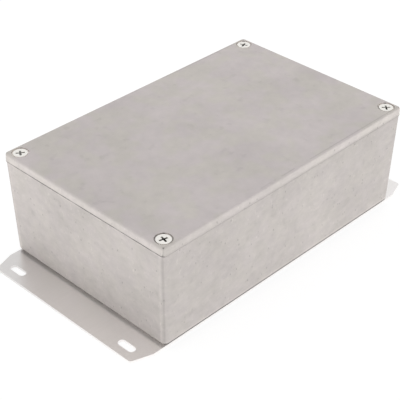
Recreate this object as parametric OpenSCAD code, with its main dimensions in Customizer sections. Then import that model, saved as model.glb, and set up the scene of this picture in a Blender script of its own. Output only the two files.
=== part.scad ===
// Die cast aluminium box: a base casting, a screwed lid and a sheet mounting plate under the base.
// The origin is the middle of the plate's underside, +X runs along the box and +Z is up.

/* [Box] */
// Length of the base at its rim
box_l = 188; // [150:1:240]
// Width of the base at its rim
box_w = 122; // [96:1:160]
// Height of the base casting, from the plate to the seam
base_h = 59.2; // [40:0.2:90]
// Height of the lid's side, from the seam to the top face
lid_h = 5.3; // [4.6:0.1:7]
// Radius of the base's upright corners
corner_r = 2; // [2:0.1:3]

/* [Castings] */
// Thickness of the base's walls at the seam
wall_t = 2.5; // [2:0.1:3]
// Thickness of the base's floor
floor_t = 2.8; // [2.4:0.1:4]
// Lean of each outer wall, from the seam down to the floor
outer_draft = 1.45; // [0.5:0.05:2]
// Lean of each inner wall, from the seam down to the floor
inner_draft = 2; // [1:0.1:2.6]
// Radius of the base's bottom edge
foot_r = 2.6; // [1:0.1:3]
// Radius at the foot of the inner walls
root_r = 2; // [1:0.1:3]
// Chamfer on each casting's outer edge at the seam
seam_chamfer = 0.3; // [0.1:0.05:0.5]

/* [Lid] */
// How far the lid stands out past the base's rim on each side
lid_over = 0.4; // [0:0.1:0.6]
// Thickness of the lid's top
top_t = 2.6; // [2.2:0.1:3]
// Radius of the lid's upper edge
brow_r = 1.2; // [0.4:0.1:1.4]
// Lean of the lid's sides, from the seam up to the top face
brow_draft = 0.2; // [0.1:0.05:0.4]
// How far the lip reaches down inside the base
lip_h = 2; // [1:0.5:4]
// Thickness of the lip
lip_t = 1.8; // [1.4:0.1:2.5]
// Play between the lip and the base's walls and pillars
lip_play = 0.35; // [0.25:0.05:0.6]

/* [Lid screws] */
// Distance of each screw in from the base's two sides
screw_in = 6; // [5.8:0.1:7]
// Diameter of the screw's thread
screw_d = 4; // [3:0.5:4]
// Length of the screw, with its head
screw_l = 16; // [12:1:25]
// Diameter of the countersunk head
head_d = 8.2; // [7:0.1:8.6]
// Height of the head's straight rim
head_rim = 0.4; // [0.2:0.1:0.5]
// How far the head's face lies below the lid's top
head_sunk = 0.2; // [0:0.05:0.3]
// Diameter of the cored recess around the head
recess_d = 9.7; // [9:0.1:9.8]
// Depth of the cored recess
recess_h = 0.8; // [0.8:0.1:1.2]
// Diameter of the pillar that each screw threads into
pillar_d = 9.5; // [8.5:0.1:10.5]
// Angle at which each screw's cross came to rest
cross_turns = [77, 46, 56, 20]; // [0:1:90]

/* [Board guides] */
// Pairs of upright ribs along each long wall
guide_pairs = 5; // [2:1:6]
// Spacing of the pairs
guide_pitch = 28; // [18:1:30]
// Width of the groove between the ribs of a pair
guide_gap = 2; // [1.6:0.1:3]
// Thickness of each rib
rib_t = 1.4; // [1:0.1:2]
// How far each rib stands out from the foot of the wall
rib_d = 2; // [1.2:0.1:3]
// Gap between the ribs and the lid's lip
rib_short = 3; // [1:0.5:10]

/* [Mounting plate] */
// Thickness of the sheet
plate_t = 1.5; // [1.5:0.1:2.5]
// How far each end stands out past the base's rim
flange_l = 18; // [16:0.5:24]
// How far each long edge stands in from the base's rim
plate_in = 2.7; // [1:0.1:4]
// Length of the slanted part of each side, at the ends
slant_l = 12.5; // [6:0.5:14]
// How far the slanted part draws in
slant_w = 4.2; // [1:0.1:6]
// Radius of the plate's outer corners
plate_r = 2; // [1:0.5:4]
// Width of the fixing slots
slot_w = 4.5; // [3.5:0.1:5.5]
// Length of the fixing slots, across the box
slot_l = 11.5; // [8:0.5:14]
// Distance of the slots in from the plate's ends
slot_end = 7; // [5:0.5:8]
// Distance of the slots in from the plate's long edges
slot_side = 14.2; // [13:0.1:24]

/* [Plate screws] */
// Diameter of the thread
stud_d = 3; // [2.5:0.5:3]
// Length of the screw, with its head
stud_l = 6; // [5:0.5:8]
// Diameter of the countersunk head
stud_head_d = 5.5; // [5:0.1:5.6]
// Height of the head's straight rim
stud_rim = 0.15; // [0.1:0.05:0.2]
// Diameter of the bosses on the base's floor
boss_d = 8; // [7:0.5:10]
// Height of the bosses above the floor
boss_h = 5; // [4:0.5:8]
// Distance of the screws in from the base's ends
stud_end = 24; // [18:1:40]
// Distance of the screws in from the base's sides
stud_side = 21; // [18:1:30]

/* [Hidden] */

$fn = 48;
// Sides of the round forms inside a hull
hull_fn = 32;
// Overshoot of a cutting tool past the face that it cuts
over = 1;
// Play of a screw in the tapped hole and in the clearance hole, on the diameter
tap_play = 0.1;
hole_play = 0.5;
// Head of a plate screw below the plate's underside
stud_sunk = 0.05;
// Blind depth of a tapped hole past the screw's tip
tap_spare = 1;

seam_z = plate_t + base_h;
top_z = seam_z + lid_h;
floor_z = plate_t + floor_t;
lip_z = seam_z - lip_h;
plate_l = box_l + 2 * flange_l;
plate_w = box_w - 2 * plate_in;
slot_x = plate_l / 2 - slot_end;
slot_y = plate_w / 2 - slot_side;
screw_x = box_l / 2 - screw_in;
screw_y = box_w / 2 - screw_in;
stud_x = box_l / 2 - stud_end;
stud_y = box_w / 2 - stud_side;

cast_colour = [0.76, 0.745, 0.73];
sheet_colour = [0.71, 0.69, 0.68];
screw_colour = [0.88, 0.87, 0.83];

// Points along an arc about centre c, from angle a to angle b
function arc(c, r, a, b, steps = 8) =
    [for (i = [0 : steps]) let (t = a + (b - a) * i / steps) c + r * [cos(t), sin(t)]];

// Copies its children to the four corners of a rectangle, x and y out from the middle
module at_corners(x, y) {
    for (sx = [-1, 1], sy = [-1, 1])
        translate([sx * x, sy * y, 0])
            children();
}

module rounded_rectangle(l, w, r) {
    square([l - 2 * r, w], center = true);
    square([l, w - 2 * r], center = true);
    at_corners(l / 2 - r, w / 2 - r)
        circle(r);
}

// A dish with a quarter-round edge, which hulls into a rounded bottom corner
module rounded_foot(r) {
    rotate_extrude($fn = hull_fn)
        polygon(concat([[0, r], [0, 0]], arc([0, r], r, -90, 0)));
}

// A block whose sides lean in by draft towards a round bottom edge, up to a rim from z_rim to z_top
module drafted_block(l, w, draft, bottom_r, rim_r, z_bottom, z_rim, z_top, rim_chamfer = 0) {
    hull() {
        translate([0, 0, z_bottom])
            at_corners(l / 2 - draft - bottom_r, w / 2 - draft - bottom_r)
                rounded_foot(bottom_r);
        translate([0, 0, z_rim])
            at_corners(l / 2 - rim_r, w / 2 - rim_r)
                cylinder(h = z_top - z_rim, r1 = rim_r, r2 = rim_r - rim_chamfer, $fn = hull_fn);
    }
}

// Corner pillar in plan: round towards the middle of the box, filled out to the walls
module pillar_plan(sx, sy, r) {
    translate([sx * screw_x, sy * screw_y]) {
        circle(r);
        translate([sx * screw_in / 2, sy * (screw_in - r) / 2])
            square([screw_in, screw_in + r], center = true);
        translate([sx * (screw_in - r) / 2, sy * screw_in / 2])
            square([screw_in + r, screw_in], center = true);
    }
}

module pillar_plans(r) {
    for (sx = [-1, 1], sy = [-1, 1])
        pillar_plan(sx, sy, r);
}

// Upright ribs in pairs, each pair a groove that holds the edge of a board
module guide_ribs() {
    tip_y = box_w / 2 - wall_t - inner_draft - rib_d;
    for (i = [0 : guide_pairs - 1], edge = [-1, 1], side = [0, 1])
        mirror([0, side, 0])
            translate([(i - (guide_pairs - 1) / 2) * guide_pitch + edge * (guide_gap + rib_t) / 2 - rib_t / 2,
                       tip_y, plate_t])
                cube([rib_t, box_w / 2 - tip_y, base_h - lip_h - rib_short]);
}

module base_cavity() {
    difference() {
        drafted_block(box_l - 2 * wall_t, box_w - 2 * wall_t, inner_draft, root_r, root_r,
                      floor_z, seam_z, seam_z + over);
        translate([0, 0, plate_t])
            linear_extrude(base_h + 2 * over)
                pillar_plans(pillar_d / 2);
        guide_ribs();
        translate([0, 0, plate_t])
            at_corners(stud_x, stud_y)
                cylinder(h = floor_t + boss_h, d = boss_d);
    }
}

module base_casting() {
    color(cast_colour)
        difference() {
            drafted_block(box_l, box_w, outer_draft, foot_r, corner_r,
                          plate_t, seam_z - seam_chamfer, seam_z, seam_chamfer);
            base_cavity();
            // Tapped holes for the lid screws
            translate([0, 0, top_z - head_sunk - screw_l - tap_spare])
                at_corners(screw_x, screw_y)
                    cylinder(h = screw_l, d = screw_d);
            // Tapped holes for the plate screws
            translate([0, 0, plate_t - over])
                at_corners(stud_x, stud_y)
                    cylinder(h = stud_l - plate_t + tap_spare + over, d = stud_d);
        }
}

// One corner of the lid: chamfered at the seam and rounded at the brow
module lid_corner() {
    side_r = corner_r + lid_over;
    crown_r = side_r - brow_draft - brow_r;
    rotate_extrude($fn = hull_fn)
        polygon(concat(
            [[0, 0], [side_r - seam_chamfer, 0], [side_r, seam_chamfer]],
            arc([crown_r, lid_h - brow_r], brow_r, 0, 90),
            [[0, lid_h]]
        ));
}

// The ring that drops inside the base, cut away around the pillars
module lid_lip() {
    translate([0, 0, lip_z])
        linear_extrude(lip_h + over)
            difference() {
                rounded_rectangle(box_l - 2 * (wall_t + lip_play), box_w - 2 * (wall_t + lip_play), root_r);
                pillar_plans(pillar_d / 2 + lip_play);
            }
}

// The hollow under the lid's top, which leaves a solid pad round each screw
module lid_hollow() {
    margin = wall_t + lip_play + lip_t;
    translate([0, 0, lip_z - over])
        linear_extrude(top_z - top_t - lip_z + over)
            difference() {
                rounded_rectangle(box_l - 2 * margin, box_w - 2 * margin, root_r);
                pillar_plans(pillar_d / 2 + lip_play);
            }
}

// A straight recess, then a seat that fits the cone of the head, then the clearance hole
module lid_screw_hole() {
    seat_d = head_d - 2 * (recess_h - head_sunk - head_rim);
    hole_d = screw_d + hole_play;
    seat_h = (seat_d - hole_d) / 2;
    translate([0, 0, top_z - recess_h])
        cylinder(h = recess_h + over, d = recess_d);
    translate([0, 0, top_z - recess_h - seat_h])
        cylinder(h = seat_h, d1 = hole_d, d2 = seat_d);
    translate([0, 0, seam_z - over])
        cylinder(h = lid_h, d = hole_d);
}

module lid_casting() {
    color(cast_colour)
        difference() {
            union() {
                translate([0, 0, seam_z])
                    hull()
                        at_corners(box_l / 2 - corner_r, box_w / 2 - corner_r)
                            lid_corner();
                lid_lip();
            }
            lid_hollow();
            at_corners(screw_x, screw_y)
                lid_screw_hole();
        }
}

module mounting_plate_plan() {
    tilt = atan2(slant_w, slant_l);
    corner = [plate_l / 2 - plate_r,
              plate_w / 2 - slant_w - plate_r * (1 - sin(tilt)) / cos(tilt)];
    quarter = concat(arc(corner, plate_r, 0, 90 - tilt), [[plate_l / 2 - slant_l, plate_w / 2]]);
    half = concat(quarter, [for (i = [len(quarter) - 1 : -1 : 0]) [-quarter[i].x, quarter[i].y]]);
    polygon(concat(half, [for (p = half) -p]));
}

// A slot that runs along Y
module fixing_slot() {
    straight = slot_l - slot_w;
    translate([0, 0, -over]) {
        for (end = [-1, 1])
            translate([0, end * straight / 2, 0])
                cylinder(h = plate_t + 2 * over, d = slot_w);
        translate([-slot_w / 2, -straight / 2, 0])
            cube([slot_w, straight, plate_t + 2 * over]);
    }
}

// A countersunk hole that opens downwards and fits the cone of a plate screw
module plate_screw_hole() {
    rim_z = stud_sunk + stud_rim;
    hole_d = stud_d + tap_play;
    translate([0, 0, -over])
        cylinder(h = rim_z + over, d = stud_head_d + tap_play);
    translate([0, 0, rim_z])
        cylinder(h = (stud_head_d - hole_d) / 2, d1 = stud_head_d, d2 = hole_d);
    cylinder(h = plate_t + over, d = hole_d);
}

module mounting_plate() {
    color(sheet_colour)
        difference() {
            linear_extrude(plate_t)
                mounting_plate_plan();
            at_corners(slot_x, slot_y)
                fixing_slot();
            at_corners(stud_x, stud_y)
                plate_screw_hole();
        }
}

// A countersunk screw with a cross recess: its head's face is at z = 0 and its tip points down
module countersunk_screw(d, l, head, rim) {
    shank_d = d - tap_play;
    cone_h = (head - shank_d) / 2;
    tip_h = d / 8;
    color(screw_colour)
        difference() {
            union() {
                translate([0, 0, -rim])
                    cylinder(h = rim, d = head);
                translate([0, 0, -rim - cone_h])
                    cylinder(h = cone_h, d1 = shank_d, d2 = head);
                translate([0, 0, tip_h - l])
                    cylinder(h = l - tip_h - rim - cone_h, d = shank_d);
                translate([0, 0, -l])
                    cylinder(h = tip_h, d1 = shank_d - 2 * tip_h, d2 = shank_d);
            }
            cross_recess(head);
        }
}

// Four tapering wings round a pointed well
module cross_recess(head) {
    span = 0.62 * head;
    depth = 0.27 * head;
    wing_t = 0.13 * head;
    intersection() {
        translate([0, 0, -depth])
            cylinder(h = depth + over, d1 = 0.2 * head, d2 = span + 2 * over * (span - 0.2 * head) / (2 * depth));
        for (turn = [0, 90])
            rotate([0, 0, turn])
                translate([0, 0, over - depth])
                    cube([2 * span, wing_t, 2 * depth + over], center = true);
    }
}

// A lid screw at the corner sx, sy, with its cross at the angle turn
module lid_screw(sx, sy, turn) {
    translate([sx * screw_x, sy * screw_y, top_z - head_sunk])
        rotate([0, 0, turn])
            countersunk_screw(screw_d, screw_l, head_d, head_rim);
}

// A plate screw at the corner sx, sy, driven up from below
module plate_screw(sx, sy) {
    translate([sx * stud_x, sy * stud_y, stud_sunk])
        rotate([180, 0, 0])
            countersunk_screw(stud_d, stud_l, stud_head_d, stud_rim);
}

module lid_screw_front_left() { lid_screw(-1, -1, cross_turns[0]); }
module lid_screw_front_right() { lid_screw(1, -1, cross_turns[1]); }
module lid_screw_rear_left() { lid_screw(-1, 1, cross_turns[2]); }
module lid_screw_rear_right() { lid_screw(1, 1, cross_turns[3]); }

module plate_screw_front_left() { plate_screw(-1, -1); }
module plate_screw_front_right() { plate_screw(1, -1); }
module plate_screw_rear_left() { plate_screw(-1, 1); }
module plate_screw_rear_right() { plate_screw(1, 1); }

base_casting();
lid_casting();
mounting_plate();
lid_screw_front_left();
lid_screw_front_right();
lid_screw_rear_left();
lid_screw_rear_right();
plate_screw_front_left();
plate_screw_front_right();
plate_screw_rear_left();
plate_screw_rear_right();
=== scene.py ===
import math
import bpy
from mathutils import Matrix, Vector


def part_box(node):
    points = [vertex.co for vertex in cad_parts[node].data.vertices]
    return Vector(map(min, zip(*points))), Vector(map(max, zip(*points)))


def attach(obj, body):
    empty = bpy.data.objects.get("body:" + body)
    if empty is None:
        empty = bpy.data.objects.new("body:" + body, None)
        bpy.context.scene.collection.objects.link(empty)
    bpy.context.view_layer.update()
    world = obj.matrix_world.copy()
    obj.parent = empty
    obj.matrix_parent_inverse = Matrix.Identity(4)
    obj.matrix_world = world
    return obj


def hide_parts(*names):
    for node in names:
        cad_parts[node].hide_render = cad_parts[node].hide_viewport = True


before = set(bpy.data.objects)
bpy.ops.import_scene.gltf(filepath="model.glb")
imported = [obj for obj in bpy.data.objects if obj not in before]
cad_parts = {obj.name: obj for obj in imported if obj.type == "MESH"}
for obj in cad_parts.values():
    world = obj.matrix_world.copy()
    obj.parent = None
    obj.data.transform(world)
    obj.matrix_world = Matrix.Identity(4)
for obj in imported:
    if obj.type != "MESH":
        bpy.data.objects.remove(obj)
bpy.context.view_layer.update()        # the imported model's nodes, placed in world space
mm = 0.001

# Heights and sides that the finishes hang on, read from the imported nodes
baseLow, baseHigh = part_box("base_casting")
lidLow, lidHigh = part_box("lid_casting")
plateLow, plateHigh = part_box("mounting_plate")
seamZ = baseHigh.z
topZ = lidHigh.z

view = {
    "azimuth": -45.62,       # degrees, 0 looks along +Y
    "elevation": 34.74,      # degrees above the floor
    "roll": 0.11,            # degrees
    "distance": 666.6 * mm,  # from the point that it looks at
    "aimHeight": 30 * mm,    # height of that point over the floor
    "slideRight": -4.82 * mm,
    "slideUp": -9.58 * mm,
    "lens": 105.5,           # on a 36 mm sensor
}


def addCamera():
    turn = math.radians(view["azimuth"])
    rise = math.radians(view["elevation"])
    roll = math.radians(view["roll"])
    back = Vector((math.sin(turn) * math.cos(rise), -math.cos(turn) * math.cos(rise), math.sin(rise)))
    level = Vector((math.cos(turn), math.sin(turn), 0))
    upright = back.cross(level)
    right = level * math.cos(roll) + upright * math.sin(roll)
    up = upright * math.cos(roll) - level * math.sin(roll)
    place = (Vector((0, 0, view["aimHeight"])) + back * view["distance"]
             + right * view["slideRight"] + up * view["slideUp"])
    data = bpy.data.cameras.new("camera")
    data.lens = view["lens"]
    data.sensor_width = 36
    data.clip_start = 0.02
    camera = bpy.data.objects.new("camera", data)
    camera.matrix_world = Matrix.Translation(place) @ Matrix((right, up, back)).transposed().to_4x4()
    bpy.context.scene.collection.objects.link(camera)
    bpy.context.scene.camera = camera


addCamera()
print("camera set")


# A socket that takes part in Python sums: each operator adds a Math node
class Wire:
    def __init__(self, finish, socket):
        self.finish = finish
        self.socket = socket

    def maths(self, operation, *terms):
        return self.finish.node("ShaderNodeMath", {"operation": operation}, dict(enumerate(terms)))

    def __add__(self, other):
        return self.maths("ADD", self, other)

    def __radd__(self, other):
        return self.maths("ADD", other, self)

    def __sub__(self, other):
        return self.maths("SUBTRACT", self, other)

    def __rsub__(self, other):
        return self.maths("SUBTRACT", other, self)

    def __mul__(self, other):
        return self.maths("MULTIPLY", self, other)

    def __rmul__(self, other):
        return self.maths("MULTIPLY", other, self)

    def __abs__(self):
        return self.maths("ABSOLUTE", self)


# The node tree of a material or a world, and short ways to add to it
class Finish:
    def __init__(self, owner):
        owner.use_nodes = True
        self.owner = owner
        self.tree = owner.node_tree
        self.tree.nodes.clear()
        self.place = self.node("ShaderNodeTexCoord", output="Object")
        self.facing = self.node("ShaderNodeTexCoord", output="Normal")

    # Any node: its settings first, then the values or links of its sockets
    def node(self, kind, settings=None, inputs=None, output=0):
        made = self.tree.nodes.new(kind)
        for name, value in (settings or {}).items():
            setattr(made, name, value)
        for name, value in (inputs or {}).items():
            socket = self.find(made.inputs, name)
            if isinstance(value, Wire):
                self.tree.links.new(value.socket, socket)
            elif socket.type == "RGBA":
                socket.default_value = (*value, 1)
            else:
                socket.default_value = value
        return Wire(self, self.find(made.outputs, output)) if made.outputs else made

    def find(self, sockets, name):
        if isinstance(name, int):
            return sockets[name]
        return next(s for s in sockets if s.enabled and name in (s.name, s.identifier))

    # Where a texture is looked up: patches about size metres across, longer along any axis under 1
    def spread(self, size, seed, stretch):
        return self.node("ShaderNodeMapping", {}, {
            "Vector": self.place,
            "Location": (seed, 2 * seed, 3 * seed),
            "Scale": [share / size for share in stretch],
        })

    # Cloudy value that stays near 0.5
    def cloud(self, size, seed=0.0, detail=2.0, roughness=0.5, stretch=(1, 1, 1)):
        return self.node("ShaderNodeTexNoise", {}, {
            "Vector": self.spread(size, seed, stretch),
            "Scale": 1.0, "Detail": detail, "Roughness": roughness,
        }, "Fac")

    # Distance to the nearest of many scattered points, in shares of size
    def specks(self, size, seed=0.0, stretch=(1, 1, 1)):
        return self.node("ShaderNodeTexVoronoi", {}, {
            "Vector": self.spread(size, seed, stretch), "Scale": 1.0,
        }, "Distance")

    # 0 at low, 1 at high, smooth between them; low may be the higher one
    def step(self, value, low, high):
        return self.node("ShaderNodeMapRange", {"interpolation_type": "SMOOTHSTEP"}, {
            "Value": value, "From Min": low, "From Max": high,
        })

    def along(self, vector, axis):
        return self.node("ShaderNodeSeparateXYZ", {}, {0: vector}, axis)

    # 1 where the surface looks straight along an axis, either way, 0 where it is parallel to it
    def facingAlong(self, axis):
        return abs(self.along(self.facing, axis))

    # As strong as strength where a value is within near of a level, 0 further off than far
    def line(self, value, strength, level, near, far):
        return strength * self.step(abs(value - level), far, near)

    def vector(self, operation, first, second=(0, 0, 0), output="Vector"):
        return self.node("ShaderNodeVectorMath", {"operation": operation}, {0: first, 1: second}, output)

    def mix(self, first, second, share):
        return self.node("ShaderNodeMix", {"data_type": "RGBA"}, {
            "Factor": share, "A": first, "B": second,
        }, "Result")

    def brighten(self, colour, times):
        return self.node("ShaderNodeVectorMath", {"operation": "SCALE"}, {
            0: colour, "Scale": times,
        }, "Vector")

    def bump(self, height, depth):
        return self.node("ShaderNodeBump", {}, {"Height": height, "Distance": depth})

    def close(self, **values):
        sockets = {
            "colour": "Base Color", "metallic": "Metallic", "roughness": "Roughness", "normal": "Normal"}
        shader = self.node("ShaderNodeBsdfPrincipled", {}, {
            sockets[name]: value for name, value in values.items()})
        self.node("ShaderNodeOutputMaterial", {}, {"Surface": shader})
        return self.owner


floorLook = {
    "radius": 4.0,
    "colour": (0.9, 0.9, 0.9),
    "diffuse": 0.3,          # share of its brightness that shadows can take away
    "total": 1.1,            # that share and its own glow
}
light = {
    "colour": (0.8, 0.8, 0.8),
    "horizon": 1.25,         # brightness of the surroundings low down
    "zenith": 1.06,           # and overhead
    "left": 0.055,           # how much brighter it is towards -X
    "turnover": 0.7,         # height where the overhead brightness is reached, 1 is straight up
}


def addFloor():
    bpy.ops.mesh.primitive_circle_add(vertices=128, radius=floorLook["radius"], fill_type="NGON")
    floor = bpy.context.object
    floor.name = "floor"
    finish = Finish(bpy.data.materials.new("paleFloor"))
    dimmed = [channel * floorLook["diffuse"] for channel in floorLook["colour"]]
    paint = finish.node("ShaderNodeBsdfDiffuse", {}, {"Color": dimmed})
    glow = floorLook["total"] - floorLook["diffuse"]
    lamp = finish.node("ShaderNodeEmission", {}, {"Color": (1, 1, 1), "Strength": glow})
    both = finish.node("ShaderNodeAddShader", {}, {0: paint, 1: lamp})
    finish.node("ShaderNodeOutputMaterial", {}, {"Surface": both})
    floor.data.materials.append(finish.owner)


def addLight():
    sky = Finish(bpy.data.worlds.new("studio"))
    direction = sky.node("ShaderNodeTexCoord", output="Generated")
    overhead = sky.step(sky.along(direction, "Z"), 0, light["turnover"])
    strength = light["horizon"] - (light["horizon"] - light["zenith"]) * overhead
    strength = strength * (1 - light["left"] * sky.along(direction, "X"))
    glow = sky.node("ShaderNodeBackground", {}, {"Color": light["colour"], "Strength": strength})
    sky.node("ShaderNodeOutputWorld", {}, {"Surface": glow})
    bpy.context.scene.world = sky.owner
    bpy.context.scene.view_settings.view_transform = "Standard"


addFloor()
addLight()
print("floor and light set")

castLook = {
    "rosy": (0.664, 0.618, 0.613),
    "olive": (0.655, 0.621, 0.588),
    "patch": 13 * mm,        # size of the tinted patches
    "evenSides": 0.65,       # how much weaker those are on the sides
    "oliveSides": 0.15,      # and how far these lean to olive
    "sideShade": 0.02,       # painted shade: how much darker the sides are
    "metallic": 0.8,
    "roughness": 0.68,
    "roughSpread": 0.15,     # how much the mottling changes that
    "skin": 0.08 * mm,       # depth of the bumps that the die left
    "cloud": 0.16,           # strength of the wide clouds
    "cloudSize": 30 * mm,
    "topMottle": 0.22,       # strength of the mottling on what faces up
    "sideMottle": 0.33,      # and on the sides
    "mottleSize": 4.5 * mm,
    "smudge": 0.06,
    "smudgeSize": 6 * mm,
    "fleck": 0.11,           # light flecks on the sides
    "fleckSize": 1.6 * mm,
    "pit": 0.24,             # dark pits on the worn stretches of the sides
    "pitGap": 2.2 * mm,
    "wornSize": 7 * mm,
    "rightPaintedLight": 0.015,     # painted light: how much lighter the right end is than the middle
    "rearPaintedLight": 0.02,       # the same painted light, for the rear edge of the two ends
}


# What both castings share: tinted patches, mottling, smudges, pits and the skin that the die left, with
# painted shade on the sides and painted light towards the right end and the rear
def castSkin(finish, seed):
    look = castLook
    side = finish.step(finish.along(finish.facing, "Z"), 0.9, 0.3)
    patches = finish.step(finish.cloud(look["patch"], seed), 0.38, 0.62) - 0.5
    patches = 0.5 + patches * (1 - look["evenSides"] * side) + look["oliveSides"] * side
    colour = finish.mix(look["rosy"], look["olive"], patches)
    wide = finish.cloud(look["cloudSize"], seed + 3, detail=1) - 0.5
    mottle = finish.cloud(
        look["mottleSize"], seed + 5, detail=4, roughness=0.62, stretch=(0.75, 0.75, 1.15)) - 0.5
    flecks = finish.cloud(look["fleckSize"], seed + 6, detail=3, roughness=0.6, stretch=(1, 1, 0.5))
    flecks = finish.step(flecks, 0.6, 0.75)
    smudges = finish.step(finish.cloud(look["smudgeSize"], seed + 8, detail=3), 0.6, 0.75)
    worn = finish.step(finish.cloud(look["wornSize"], seed + 9), 0.5, 0.62)
    pits = finish.step(finish.specks(look["pitGap"], seed + 10, stretch=(1, 1, 0.6)), 0.24, 0.1) * worn
    mottling = look["topMottle"] + (look["sideMottle"] - look["topMottle"]) * side
    brightness = 1 + look["cloud"] * wide + mottling * mottle - look["smudge"] * smudges
    # On the sides: light flecks, dark pits and a painted shade
    brightness = brightness + side * (look["fleck"] * flecks - look["pit"] * pits - look["sideShade"])
    # Painted light: lighter towards the right end, and on the two ends towards the rear
    toRight = finish.along(finish.place, "X") * (look["rightPaintedLight"] / lidHigh.x)
    toRear = finish.along(finish.place, "Y") * (look["rearPaintedLight"] / lidHigh.y)
    brightness = brightness + toRight + toRear * finish.facingAlong("X")
    grain = finish.cloud(0.8 * mm, seed + 9, detail=3, roughness=0.6)
    normal = finish.bump(0.4 * grain + mottle - 0.5 * pits, look["skin"])
    return colour, brightness, look["roughness"] + look["roughSpread"] * mottle, normal


def closeCast(finish, colour, brightness, rough, normal):
    return finish.close(
        colour=finish.brighten(colour, brightness), metallic=castLook["metallic"],
        roughness=rough, normal=normal)


baseLook = {
    "draft": 1.45 * mm,      # how far the walls lean in from the seam to the plate
    # Lines on the walls: strength, distance, half width at full strength and half width in all
    "footShadeEnds": (0.5, 1.15 * mm, 0.35 * mm, 0.8 * mm),    # painted shade, above the plate, on the ends
    "footShadeSides": (0.9, 1.2 * mm, 0.7 * mm, 1.1 * mm),     # painted shade, above the plate, on the long sides
    "footGleam": (0.08, 3 * mm, 0.3 * mm, 0.8 * mm),      # painted highlight, above that
    "corner": (0.12, 1 * mm, 0.2 * mm, 0.9 * mm),         # painted dark reflection, in from each upright corner
    "cornerGleam": (0.06, 3 * mm, 0.3 * mm, 1.2 * mm),    # painted highlight, beside that
    "lip": (0.12, 0.8 * mm, 0.2 * mm, 0.6 * mm),          # lighter, below the seam, on the ends
    "gleamDrop": (25 * mm, 8 * mm),    # heights between which the painted highlight beside the corner doubles
    "sheen": 0.03,           # painted reflection: how much lighter the upper part of an end is than its foot
    "sheenRise": (15 * mm, 34 * mm),
    "sheenSlant": 0.2,       # how much lower that lies for each metre towards the rear
}


def baseFinish():
    finish = Finish(bpy.data.materials.new("castBase"))
    colour, brightness, rough, normal = castSkin(finish, 1.3)
    height = finish.along(finish.place, "Z")
    abovePlate = height - plateHigh.z
    along = finish.along(finish.place, "Y")
    onEnds = finish.facingAlong("X")
    onSides = finish.facingAlong("Y")
    flatEnds = onEnds * onEnds
    # Painted shade in the crevice above the plate
    brightness = brightness * (1 - finish.line(abovePlate, *baseLook["footShadeEnds"]) * onEnds)
    brightness = brightness * (1 - finish.line(abovePlate, *baseLook["footShadeSides"]) * onSides)
    # Painted highlight above that shade, on the long sides
    brightness = brightness + finish.line(abovePlate, *baseLook["footGleam"]) * onSides
    # Painted reflection: the upper part of each end lighter than its foot, lower towards the rear
    sheen = finish.step(height + baseLook["sheenSlant"] * along, *baseLook["sheenRise"])
    brightness = brightness + baseLook["sheen"] * sheen * flatEnds
    lean = (height - seamZ) * (baseLook["draft"] / (seamZ - plateHigh.z))
    fromCorner = baseHigh.y + lean - abs(along)
    end = finish.step(onEnds, 0.5, 0.8)
    # Painted dark reflection down each upright corner, and a painted highlight beside it that grows towards
    # the foot
    brightness = brightness * (1 - finish.line(fromCorner, *baseLook["corner"]) * end)
    gleam = finish.line(fromCorner, *baseLook["cornerGleam"]) * end
    brightness = brightness + gleam * (1 + finish.step(height, *baseLook["gleamDrop"]))
    broken = finish.step(finish.cloud(7 * mm, 21, detail=3), 0.35, 0.6)
    brightness = brightness + finish.line(seamZ - height, *baseLook["lip"]) * flatEnds * broken
    return closeCast(finish, colour, brightness, rough, normal)


lidLook = {
    "bandEnds": 0.18,        # how much lighter the dressed rim is, on the ends
    "bandSides": 0.13,       # and on the long sides
    "bandDrift": 0.06,       # how much more that is at their right end
    "seamShadeEnds": 0.95,        # painted shade in the seam, on the ends
    "seamShadeSides": 0.1,        # and on the long sides
    "corner": 0.14,          # painted dark reflection down each corner of the rim
    "cornerDot": 0.45,       # dark dots where it ends
    # Painted dark reflection inside the rim: strength, distance, half width at full strength and half width
    # in all
    "brow": (0.12, 1.8 * mm, 0.15 * mm, 0.55 * mm),
    "browStart": (-10 * mm, 30 * mm),    # where it sets in, from left to right
    "browBreaks": 60 * mm,
    "groove": (4.9 * mm, 4.6 * mm),      # radius of the groove round a screw, and of its full depth
    # Painted light in each groove: its brightness, times the rest
    "recess": {"front_left": 1.15, "front_right": 1.25, "rear_left": 1.45, "rear_right": 1.4},
    # Painted shade in it: its direction in degrees, how far round it reaches and how dark it is
    "grooveShadows": {
        "front_left": ((134, 0.6, 0.5), (-46, 0.6, 0.45)),
        "front_right": ((134, 0.25, 0.5),),
        "rear_left": ((-80, 0.3, 0.2),),
        "rear_right": ((95, 0.7, 0.35), (-46, 0.3, 0.25)),
    },
}


# Painted light and shade of the lid round one screw: its brightness, times the rest
def grooveShade(finish, corner):
    low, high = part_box("lid_screw_" + corner)
    axis = ((low.x + high.x) / 2, (low.y + high.y) / 2, 0)
    flat = finish.vector("MULTIPLY", finish.place, (1, 1, 0))
    outward = finish.vector("NORMALIZE", finish.vector("SUBTRACT", flat, axis))
    # Painted light over the whole groove, less painted shade in arcs towards each listed direction
    change = lidLook["recess"][corner] - 1
    for angle, reach, dark in lidLook["grooveShadows"][corner]:
        toward = (math.cos(math.radians(angle)), math.sin(math.radians(angle)), 0)
        turned = finish.vector("DOT_PRODUCT", outward, toward, "Value")
        change = change - dark * finish.step(turned, 1 - reach, 1 - 0.3 * reach)
    groove = finish.step(finish.vector("DISTANCE", flat, axis, "Value"), *lidLook["groove"])
    return 1 + groove * change


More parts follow.
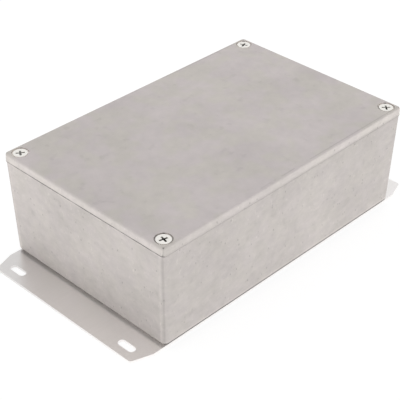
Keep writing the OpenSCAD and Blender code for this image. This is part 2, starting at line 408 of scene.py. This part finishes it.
def lidFinish():
    finish = Finish(bpy.data.materials.new("castLid"))
    colour, brightness, rough, normal = castSkin(finish, 8.1)
    rise = (finish.along(finish.place, "Z") - seamZ) * (1 / (topZ - seamZ))    # 0 at the seam, 1 at the top
    across = finish.along(finish.place, "X")
    tilt = finish.along(finish.facing, "Z")
    onEnds = finish.facingAlong("X")
    onSides = finish.facingAlong("Y")
    flatEnds = onEnds * onEnds
    flatSides = onSides * onSides
    broken = finish.step(finish.cloud(7 * mm, 33, detail=3), 0.35, 0.6)
    blotches = 0.4 + 1.2 * finish.cloud(5 * mm, 35, detail=3)
    endBand = finish.step(rise, 0.05, 0.3) * finish.step(rise, 1.0, 0.6)
    sideBand = finish.step(rise, 0.12, 0.42) * finish.step(tilt, 0.95, 0.5)
    sideGain = lidLook["bandSides"] + across * (lidLook["bandDrift"] / lidHigh.x)
    band = lidLook["bandEnds"] * flatEnds * endBand + sideGain * flatSides * sideBand
    brightness = brightness + band * blotches
    # Painted shade in the seam, broken along the ends
    endSeam = lidLook["seamShadeEnds"] * flatEnds * (0.4 + 0.6 * broken)
    sideSeam = lidLook["seamShadeSides"] * flatSides
    brightness = brightness * (1 - finish.step(rise, 0.14, 0.08) * (endSeam + sideSeam))
    # Painted dark reflection down each upright corner of the rim, with dark dots at its ends
    ridge = finish.step(abs(onEnds - onSides), 0.3, 0.1) * finish.step(tilt, 0.99, 0.9)
    dots = finish.step(rise, 0.85, 0.97) + finish.step(rise, 0.16, 0.06)
    brightness = brightness * (1 - ridge * (lidLook["corner"] + lidLook["cornerDot"] * dots))
    # Painted dark reflection along the front and rear edges of the top, setting in towards the right and
    # broken
    inset = lidHigh.y - abs(finish.along(finish.place, "Y"))
    inside = finish.line(inset, *lidLook["brow"]) * finish.step(tilt, 0.8, 0.95)
    right = finish.step(across + lidLook["browBreaks"] * (broken - 0.5), *lidLook["browStart"])
    brightness = brightness * (1 - inside * right)
    for corner in lidLook["recess"]:
        brightness = brightness * grooveShade(finish, corner)
    return closeCast(finish, colour, brightness, rough, normal)


sheetLook = {
    "colour": (0.88, 0.858, 0.847),
    "frontPaintedLight": 0.12,      # painted light: how much lighter the front edge is than the middle
    "metallic": 0.85,
    "roughness": 0.3,
    "grain": 0.01 * mm,      # depth of the rolling lines
}


def sheetFinish():
    finish = Finish(bpy.data.materials.new("millSheet"))
    lines = finish.cloud(1.5 * mm, 4, detail=3, stretch=(0.05, 1, 1)) - 0.5
    wide = finish.cloud(40 * mm, 6) - 0.5
    # Painted light: lighter towards the front edge, darker towards the rear
    drift = finish.along(finish.place, "Y") * (sheetLook["frontPaintedLight"] / plateLow.y)
    colour = finish.brighten(sheetLook["colour"], 1 + drift + 0.08 * wide + 0.05 * lines)
    return finish.close(
        colour=colour, metallic=sheetLook["metallic"],
        roughness=sheetLook["roughness"] + 0.1 * lines,
        normal=finish.bump(lines, sheetLook["grain"]))


platedLook = {
    "colour": (0.99, 0.965, 0.92),
    "dirtAndShade": 0.75,            # dirt and painted shade in the cross recess
    "well": 3.2 * mm,        # how far out that dirt and shade can reach
    "roughness": 0.3,
    "grain": 0.01 * mm,
}


def platedFinish():
    finish = Finish(bpy.data.materials.new("nickelPlate"))
    wide = finish.cloud(3 * mm, 2) - 0.5
    fine = finish.cloud(0.3 * mm, 5, detail=3) - 0.5
    # Dirt and painted shade deep in the cross recess
    depth = 0 - finish.along(finish.place, "Z")
    away = finish.vector("LENGTH", finish.vector("MULTIPLY", finish.place, (1, 1, 0)), output="Value")
    reach = platedLook["well"]
    well = finish.step(depth, 0.05 * mm, 0.5 * mm) * finish.step(away, reach, 0.8 * reach)
    dirtAndShade = 1 - platedLook["dirtAndShade"] * well
    return finish.close(
        colour=finish.brighten(platedLook["colour"], (1 + 0.1 * wide) * dirtAndShade), metallic=1.0,
        roughness=platedLook["roughness"] + 0.1 * fine,
        normal=finish.bump(fine, platedLook["grain"]))


def dress(node, material):
    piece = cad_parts[node]
    for slot in piece.material_slots:
        slot.material = material


dress("base_casting", baseFinish())
dress("lid_casting", lidFinish())
dress("mounting_plate", sheetFinish())
plated = platedFinish()
print("castings and plate finished")

# Sizes of the cross recess, in shares of the head's diameter
cross = {
    "span": 0.62,            # from tip to tip of two wings
    "wing": 0.13,            # across a wing
    "depth": 0.3,
    "taper": 0.55,           # length of a wing at its foot, times that at the face
    "rounding": 0.012,       # softening of the recess's upper edge
}
lidScrew = {
    "thread": 3.9 * mm,      # across the crests
    "pitch": 0.7 * mm,
    "rim": 0.4 * mm,         # height of the head's straight rim
    "edge": 0.13 * mm,       # rounding of the head's edge
    # Degrees that each cross is turned
    "turns": {"front_left": 77, "front_right": 46, "rear_left": 56, "rear_right": 20},
    "tips": 0,               # it points down
}
plateScrew = {
    "thread": 2.9 * mm,
    "pitch": 0.5 * mm,
    "rim": 0.15 * mm,
    "edge": 0.06 * mm,
    "turns": {"front_left": 12, "front_right": 40, "rear_left": 65, "rear_right": 81},
    "tips": 180,             # degrees that it is tipped over, to point up into the base
}


# Angles round a screw, with one on every corner of its cross
def wheel():
    corner = math.asin(cross["wing"] / cross["span"])
    half = [corner * i / 3 for i in range(3)] + [corner + (math.pi / 4 - corner) * i / 8 for i in range(8)]
    quarter = half + [math.pi / 4] + [math.pi / 2 - angle for angle in reversed(half[1:])]
    return [angle + turn * math.pi / 2 for turn in range(4) for angle in quarter]


# How far a cross reaches from the middle at some angle
def crossReach(angle, span, wing):
    off = abs(math.sin((angle + math.pi / 4) % (math.pi / 2) - math.pi / 4))
    return min(span / 2, wing / 2 / off if off else span / 2)


# Rings of (radius, height) from the foot of the recess over the head and down the thread to the tip
def screwRings(look, head, length):
    angles = wheel()
    span, wing = cross["span"] * head, cross["wing"] * head
    soft = cross["rounding"] * head
    rings = []

    def crossRing(share, grow, z):
        rings.append([(crossReach(a, share * span, share * wing) + grow, z) for a in angles])

    def roundRing(radius, z):
        rings.append([(radius, z)] * len(angles))

    crossRing(cross["taper"], 0, -0.75 * cross["depth"] * head)
    crossRing(1, 0, -soft)
    crossRing(1, 0.4 * soft, -0.3 * soft)
    crossRing(1, soft, 0)
    edge = look["edge"]
    for share in (0.78, 0.9):
        roundRing(share * head / 2, 0)
    for step in range(5):
        bend = math.radians(22.5 * step)
        roundRing(head / 2 - edge + edge * math.sin(bend), -edge + edge * math.cos(bend))
    roundRing(head / 2, -look["rim"])
    crest = look["thread"] / 2
    neck = -look["rim"] - (head / 2 - crest)
    roundRing(crest, neck)
    stepsPerTurn = 6
    tip = look["thread"] / 8
    threaded = length + neck - tip
    groove = 0.6 * look["pitch"]
    steps = round(threaded / look["pitch"] * stepsPerTurn)
    for i in range(1, steps + 1):
        z = neck - threaded * i / steps
        turns = z / look["pitch"]
        cut = groove * min(1, i / stepsPerTurn, (steps + 2 - i) / stepsPerTurn)    # runs out at both ends
        rings.append([(crest - cut * abs(2 * ((turns + a / math.tau) % 1) - 1), z) for a in angles])
    roundRing(crest - groove, tip / 2 - length)
    roundRing(crest - tip, -length)
    return angles, rings


def addScrew(node, look, turn, material):
    low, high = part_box(node)
    head, length = high.x - low.x, high.z - low.z
    angles, rings = screwRings(look, head, length)
    count = len(angles)
    points = [(0, 0, -cross["depth"] * head)]
    for ring in rings:
        points += [(r * math.cos(a), r * math.sin(a), z) for a, (r, z) in zip(angles, ring)]
    points.append((0, 0, -length))
    faces = []
    for j in range(count):
        after = (j + 1) % count
        faces.append((0, 1 + j, 1 + after))
        for i in range(len(rings) - 1):
            inner, outer = 1 + i * count, 1 + (i + 1) * count
            faces.append((inner + j, outer + j, outer + after, inner + after))
        last = 1 + (len(rings) - 1) * count
        faces.append((last + j, len(points) - 1, last + after))
    mesh = bpy.data.meshes.new(node + "_threaded")
    mesh.from_pydata(points, [], faces)
    mesh.shade_smooth()
    mesh.set_sharp_from_angle(angle=math.radians(30))
    mesh.materials.append(material)
    screw = bpy.data.objects.new(node + "_threaded", mesh)
    bpy.context.scene.collection.objects.link(screw)
    face = low.z if look["tips"] else high.z
    screw.location = ((low.x + high.x) / 2, (low.y + high.y) / 2, face)
    screw.rotation_euler = (math.radians(look["tips"]), 0, math.radians(turn))
    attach(screw, "root")
    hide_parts(node)


for kind, look in (("lid_screw", lidScrew), ("plate_screw", plateScrew)):
    for corner, turn in look["turns"].items():
        addScrew(f"{kind}_{corner}", look, turn, plated)
print("screws made")
